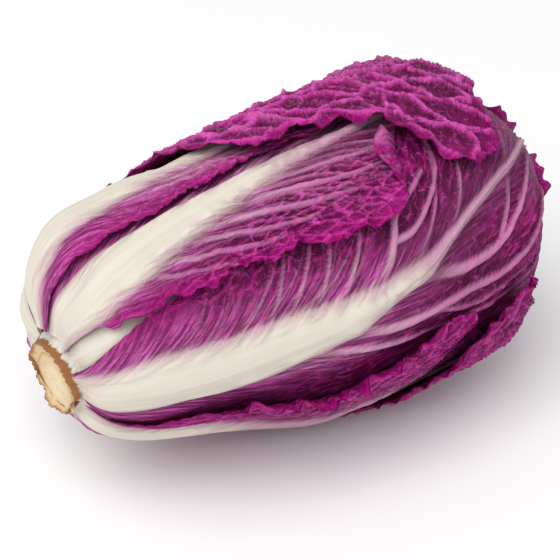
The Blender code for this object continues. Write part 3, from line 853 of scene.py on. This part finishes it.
class Shader:
    def __init__(self, name):
        self.material = bpy.data.materials.new(name)
        self.material.use_nodes = True
        self.tree = self.material.node_tree
        self.surface = self.tree.nodes["Principled BSDF"]

    def node(self, kind, settings, sockets):
        made = self.tree.nodes.new(kind)
        for key, value in settings.items():
            setattr(made, key, value)
        for key, value in sockets.items():
            self.feed(made.inputs[key], value)
        return made

    def feed(self, socket, value):
        if isinstance(value, Value):
            self.tree.links.new(value.socket, socket)
        elif isinstance(value, bpy.types.NodeSocket):
            self.tree.links.new(value, socket)
        else:
            if isinstance(value, tuple) and len(value) < len(socket.default_value):
                value = (*value, 1)  # a colour's alpha
            socket.default_value = value

    def mask(self, name):
        return Value(self, self.node("ShaderNodeAttribute", {"attribute_name": name}, {}).outputs["Fac"])

    def place(self, name, stretch=(1, 1, 1)):
        found = self.node("ShaderNodeAttribute", {"attribute_name": name}, {}).outputs["Vector"]
        return self.node("ShaderNodeVectorMath", {"operation": "MULTIPLY"}, {0: found, 1: stretch}).outputs[0]

    def cloudy(self, place, scale, layers=3.0, roughness=0.5):
        return Value(self, self.node("ShaderNodeTexNoise", {}, {
            "Vector": place, "Scale": scale, "Detail": layers, "Roughness": roughness}).outputs[0])

    def cells(self, place, scale):
        return Value(self, self.node("ShaderNodeTexVoronoi", {"feature": "DISTANCE_TO_EDGE"}, {
            "Vector": place, "Scale": scale}).outputs["Distance"])

    def mix(self, share, first, second):
        return self.node("ShaderNodeMix", {"data_type": "RGBA"}, {0: share, 6: first, 7: second}).outputs[2]

    def bump(self, height):
        # the height is in metres
        sockets = {"Height": height, "Distance": 1.0, "Strength": 0.9}
        return self.node("ShaderNodeBump", {}, sockets).outputs[0]

    def finish(self, **sockets):
        for key, value in sockets.items():
            self.feed(self.surface.inputs[key.replace("_", " ")], value)
        return self.material


leafColors = {
    "pitShade": (0.070, 0.0004, 0.028),  # painted shade between the puckers, the blade, and a painted highlight on top of them
    "blade": (0.250, 0.0008, 0.110),
    "ridgeAndHighlight": (0.620, 0.0160, 0.350),
    "margin": (0.480, 0.0005, 0.230),
    "line": (0.740, 0.110, 0.500),
    "vein": (0.580, 0.205, 0.420),
    "rib": (0.690, 0.645, 0.560),
    "ribShade": (0.600, 0.535, 0.430),
    "blush": (0.660, 0.120, 0.450),
}
leafSurface = {
    "netScale": 300.0, "netRise": 0.00055,  # small nets of veins between the modelled ones
    "fineScale": 850.0, "fineRise": 0.00012,
    "patchScale": 240.0, "patchRise": 0.0009,
    "cloudScale": 70.0,
    "hairs": (900, 45, 1),  # per metre across and along: hairlines in the blush, streaks in the rib
    "streaks": (420, 9, 1), "streakRise": 0.00012,
    "roughness": 0.30,
    "shadeDarkening": 0.08,  # painted shade: how much darker the shaded copy of the leaf material is
}


def leafMaterial(name, shadeDarkening=0.0):
    shader, colors, look = Shader(name), leafColors, leafSurface
    place = shader.place("sheetPlace")
    rib, vein, margin = shader.mask("ribMask"), shader.mask("veinMask"), shader.mask("marginMask")
    puckerShadeAndHighlight, nearRib, edgeLine = shader.mask("puckerMask"), shader.mask("nearRib"), shader.mask("edgeLine")
    net = shader.cells(shader.place("veinPlace", (1, 0.6, 1)), look["netScale"])
    fineNet = shader.cells(place, look["fineScale"])
    clouds = shader.cloudy(place, look["cloudScale"], 4.0, 0.6)
    patches = shader.cloudy(place, look["patchScale"], 3.0, 0.6)
    hairs = shader.cloudy(shader.place("veinPlace", look["hairs"]), 1.0, 2.0)
    streaks = shader.cloudy(shader.place("sheetPlace", look["streaks"]), 1.0, 2.0)
    netLine = 1 - net.between(0.01, 0.10)
    fineLine = 1 - fineNet.between(0.02, 0.18)
    # the blade, from painted shade in its pits to a painted highlight on its ridges, also varied at random by
    # the clouds, then its pale lines
    toneAndShading = puckerShadeAndHighlight * 0.80 + clouds * 0.55 + patches * 0.35 - 0.48 - shadeDarkening
    blade = shader.mix(toneAndShading.between(0.0, 0.5), colors["pitShade"], colors["blade"])
    blade = shader.mix(toneAndShading.between(0.42, 1.0), blade, colors["ridgeAndHighlight"])
    lines = netLine * patches.between(0.38, 0.62) * 0.42 + fineLine * 0.06
    lines = (lines + edgeLine * clouds.between(0.22, 0.45) * 0.95) * (1 - 0.8 * nearRib)
    blade = shader.mix(lines, blade, colors["line"])
    blush = nearRib.between(0.0, 1.0) * (0.18 + 0.70 * hairs.between(0.42, 0.64))
    blade = shader.mix(blush, blade, colors["blush"])
    blade = shader.mix(margin * 0.6, blade, colors["margin"])
    veinTone = shader.mix(nearRib * 0.6, colors["vein"], colors["rib"])
    blade = shader.mix(vein * (0.75 + 0.25 * nearRib), blade, veinTone)
    cream = shader.mix(streaks.between(0.3, 0.75) * 0.5, colors["rib"], colors["ribShade"])
    relief = netLine * look["netRise"] + fineLine * look["fineRise"] + patches * look["patchRise"]
    height = relief * (1 - rib) * (1 - vein * 0.85) + streaks * rib * look["streakRise"]
    shader.feed(shader.surface.inputs["Base Color"], shader.mix(rib, blade, cream))
    shader.feed(shader.surface.inputs["Roughness"], look["roughness"] + clouds * 0.20 + patches * 0.12)
    shader.feed(shader.surface.inputs["Normal"], shader.bump(height))
    return shader.finish(Subsurface_Weight=0.03, Subsurface_Radius=(0.002, 0.0012, 0.0014),
                         Subsurface_Scale=1.0, Specular_IOR_Level=0.12)


def layLeaves():
    support = heights.start()
    sheets = {node: LeafSheet({**plainLeaf, **leaf}) for node, leaf in leaves.items()}
    prints = [sheet.footprint() for sheet in sheets.values()]
    finish = leafMaterial("outerLeaf")
    # a copy of the leaf material darkened as painted shade, for the front leaf
    shadedFinish = leafMaterial("shadedLeaf", leafSurface["shadeDarkening"])
    for k, (node, sheet) in enumerate(sheets.items()):
        above = prints[k + 1:]
        cover = blurred(np.max(above, axis=0), 2) if above else np.zeros(support.shape)
        outside, inside = sheet.place(support, cover)
        material = shadedFinish if sheet.leaf["shadedCopy"] else finish
        addSheet(node, material, outside, inside, sheet.masks, sheet.places, sheet.flip)


layLeaves()

heartLook = {
    "rows": 190, "around": 260, "crinkle": 0.0016, "thickness": 0.004,
    "gap": 0.0016,  # to the leaves over it
    "whiteReach": 0.10,
}


def roundPlace(arc, angle, lift):
    point, normal, _, _ = surface.locate(arc, arc * 0, angle)
    return surface.laidDown(point + normal * lift[..., None])


def makeHeart():
    rows, around = heartLook["rows"], heartLook["around"]
    arc = np.linspace(0, surface.total - 0.0004, rows)[:, None] * np.ones((1, around + 1))
    angle = np.linspace(0, 2 * math.pi, around + 1)[None, :] * np.ones((rows, 1))
    x, y = heights.cells(arc, angle)
    gap = cellEdges(x / 7 + layered(x / 16, y / 16, 92), y / 10, 91)
    ridgeAndHighlight = 0.5 * layered(x / 14, y / 14, 90) + 0.9 * (1 - smooth(0.0, 0.45, gap)) - 0.2
    at, thick = np.array(headShape["packing"]).T / 1000
    lift = through(at, thick, arc) - heartLook["gap"] + ridgeAndHighlight * heartLook["crinkle"]
    outside = roundPlace(arc, angle, lift)
    inside = roundPlace(arc, angle, lift - heartLook["thickness"])
    zero = np.zeros(arc.shape)
    # the ridges also give painted shade in the heart's hollows and a painted highlight on its crests, through
    # the pucker mask
    masks = {"ribMask": smooth(heartLook["whiteReach"], 0.0, arc), "veinMask": zero, "marginMask": zero,
             "puckerMask": 0.4 + 0.4 * ridgeAndHighlight, "nearRib": zero, "edgeLine": 1 - smooth(0.03, 0.16, gap)}
    place = (angle.ravel() * 0.06, arc.ravel())
    addSheet("heart", leafMaterial("heartLeaf"), outside, inside, masks,
             {"sheetPlace": place, "veinPlace": place})


makeHeart()

stemLook = {
    "rings": 70, "around": 220, "sideRings": 25,
    "spread": 1.07,  # its face's radius against the CAD stem's
    "faceDip": 0.0012, "raggedness": 0.0022, "rimRise": 0.0020, "bumps": 0.0004, "yearRings": 0.0003,
    "proud": 0.0016, "depth": 0.030, "droop": 0.0072,
    "flare": 0.0135,  # how much wider it gets inside the head
    "core": (0.72, 0.52, 0.30), "pith": (0.80, 0.66, 0.44),
    "rim": (0.30, 0.13, 0.045), "crack": (0.42, 0.22, 0.09),
}


def stemMaterial():
    shader = Shader("cutStem")
    spot = shader.place("sheetPlace")
    ring = shader.mask("ringShare")  # 0 in the middle of the face, 1 at its rim, more along the side
    clouds = shader.cloudy(spot, 260.0, 5.0, 0.65)
    broad = shader.cloudy(spot, 90.0, 3.0, 0.5)
    fibres = shader.cells(spot, 700.0)
    wobbly = ring + (broad - 0.5) * 0.16
    color = shader.mix(wobbly.between(0.25, 0.75), stemLook["pith"], stemLook["core"])
    line = wobbly.between(0.66, 0.71) * (1 - wobbly.between(0.71, 0.77))
    color = shader.mix(line * 0.55, color, stemLook["crack"])
    color = shader.mix(clouds.between(0.52, 0.72) * 0.45, color, stemLook["crack"])
    color = shader.mix(wobbly.between(0.84, 0.97), color, stemLook["rim"])
    color = shader.mix((ring + broad * 0.3 - 0.15).between(1.005, 1.05), color, leafColors["rib"])
    shader.feed(shader.surface.inputs["Base Color"], color)
    shader.feed(shader.surface.inputs["Roughness"], 0.72 + clouds * 0.2)
    height = clouds * 0.0010 + fibres.between(0.0, 0.3) * 0.00012
    shader.feed(shader.surface.inputs["Normal"], shader.bump(height))
    return shader.finish(Specular_IOR_Level=0.3)


def makeStem():
    look, rings = stemLook, stemLook["rings"]
    low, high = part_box("stem")
    cut = low.x - surface.origin[0]  # along the axis, close enough to the box's end
    turn = np.linspace(0, 2 * math.pi, look["around"] + 1)[None, :]
    # profile: from the middle of the cut face out to the rim, then forward into the head
    face = np.linspace(0, 1, rings)[:, None]
    side = np.linspace(0, 1, look["sideRings"] + 1)[1:, None]
    ragged = layered(np.cos(turn) * 4, np.sin(turn) * 4, 61, 3)
    fine = layered(np.cos(turn) * 14, np.sin(turn) * 14, 62, 2)
    rimRadius = (high.y - low.y) / 2 * (look["spread"] + 0.05 * ragged)
    r = np.concatenate([face * rimRadius, rimRadius + look["flare"] * smooth(0.02, 0.4, side)])
    bumps = look["bumps"] * layered(r * np.cos(turn) / 0.004, r * np.sin(turn) / 0.004, 63, 3)
    xFace = (look["faceDip"] * (1 - face ** 3) + bumps[:rings]
             - look["yearRings"] * np.cos(face * 21 + ragged * 1.2) * face
             - look["raggedness"] * smooth(0.84, 0.97, face) * np.clip(0.4 + ragged + 0.6 * fine, 0, 1)
             + look["rimRise"] * smooth(0.97, 1.0, face))
    xSide = xFace[-1:] + side * look["depth"] + bumps[rings:]
    x = np.concatenate([xFace, xSide]) + cut - look["proud"]

    def laid(x, r):
        return surface.laidDown(np.stack([x, -r * np.cos(turn), r * np.sin(turn) - look["droop"]], -1))

    core = x * 0 + cut + look["depth"] + 0.0015
    share = np.concatenate([face + 0 * turn, 1 + side + 0 * turn])
    place = ((r * np.cos(turn)).ravel(), (r * np.sin(turn)).ravel())
    addSheet("stem", stemMaterial(), laid(x, r), laid(core, r * 0.2), {"ringShare": share},
             {"sheetPlace": place})


makeStem()

studio = {
    "floorSize": 6.0, "floorColor": (0.94, 0.94, 0.94), "sky": 0.68,
    "keyPower": 33.0, "keySize": 2.0, "keyPlace": (-1.1, -0.45, 1.95),
    "fillPower": 1.0, "fillSize": 1.4, "fillPlace": (0.4, -1.4, 0.9),
    "aim": (0, 0, 0.06),
}
view = {
    "azimuth": -35.2, "elevation": 35.0, "angle": 20.0, "distance": 0.7735,
    "look": (-0.0900, 0.0, -0.0085),  # from the middle of the head's widest part
}


def makeStudio():
    half = studio["floorSize"] / 2
    mesh = bpy.data.meshes.new("floor")
    corners = [(-half, -half, 0), (half, -half, 0), (half, half, 0), (-half, half, 0)]
    mesh.from_pydata(corners, [], [(0, 1, 2, 3)])
    floor = bpy.data.objects.new("floor", mesh)
    bpy.context.scene.collection.objects.link(floor)
    shader = Shader("paleFloor")
    floor.data.materials.append(shader.finish(Base_Color=studio["floorColor"], Roughness=0.9,
                                              Specular_IOR_Level=0.2))
    world = bpy.data.worlds.new("studioSky")
    bpy.context.scene.world = world
    world.use_nodes = True
    sky = world.node_tree.nodes["Background"]
    sky.inputs["Color"].default_value = (1, 1, 1, 1)
    sky.inputs["Strength"].default_value = studio["sky"]
    for name in ("key", "fill"):
        light = bpy.data.lights.new(name, "AREA")
        light.energy = studio[name + "Power"]
        light.shape = "DISK"
        light.size = studio[name + "Size"]
        lamp = bpy.data.objects.new(name, light)
        bpy.context.scene.collection.objects.link(lamp)
        lamp.location = studio[name + "Place"]
        aim = Vector(studio["aim"]) - lamp.location
        lamp.rotation_euler = aim.to_track_quat("-Z", "Y").to_euler()
    bpy.context.scene.view_settings.view_transform = "Standard"
    bpy.context.scene.view_settings.look = "None"


def makeCamera():
    camera = bpy.data.cameras.new("camera")
    camera.sensor_width = 36
    camera.angle = math.radians(view["angle"])
    camera.clip_start = 0.01
    seen = bpy.data.objects.new("camera", camera)
    bpy.context.scene.collection.objects.link(seen)
    around, up = math.radians(view["azimuth"]), math.radians(view["elevation"])
    back = Vector((math.sin(around) * math.cos(up), -math.cos(around) * math.cos(up), math.sin(up)))
    target = Vector(surface.origin.tolist()) + Vector(view["look"])
    seen.location = target + back * view["distance"]
    seen.rotation_euler = (-back).to_track_quat("-Z", "Y").to_euler()
    bpy.context.scene.camera = seen


makeStudio()
makeCamera()
print("floor, light and camera made")
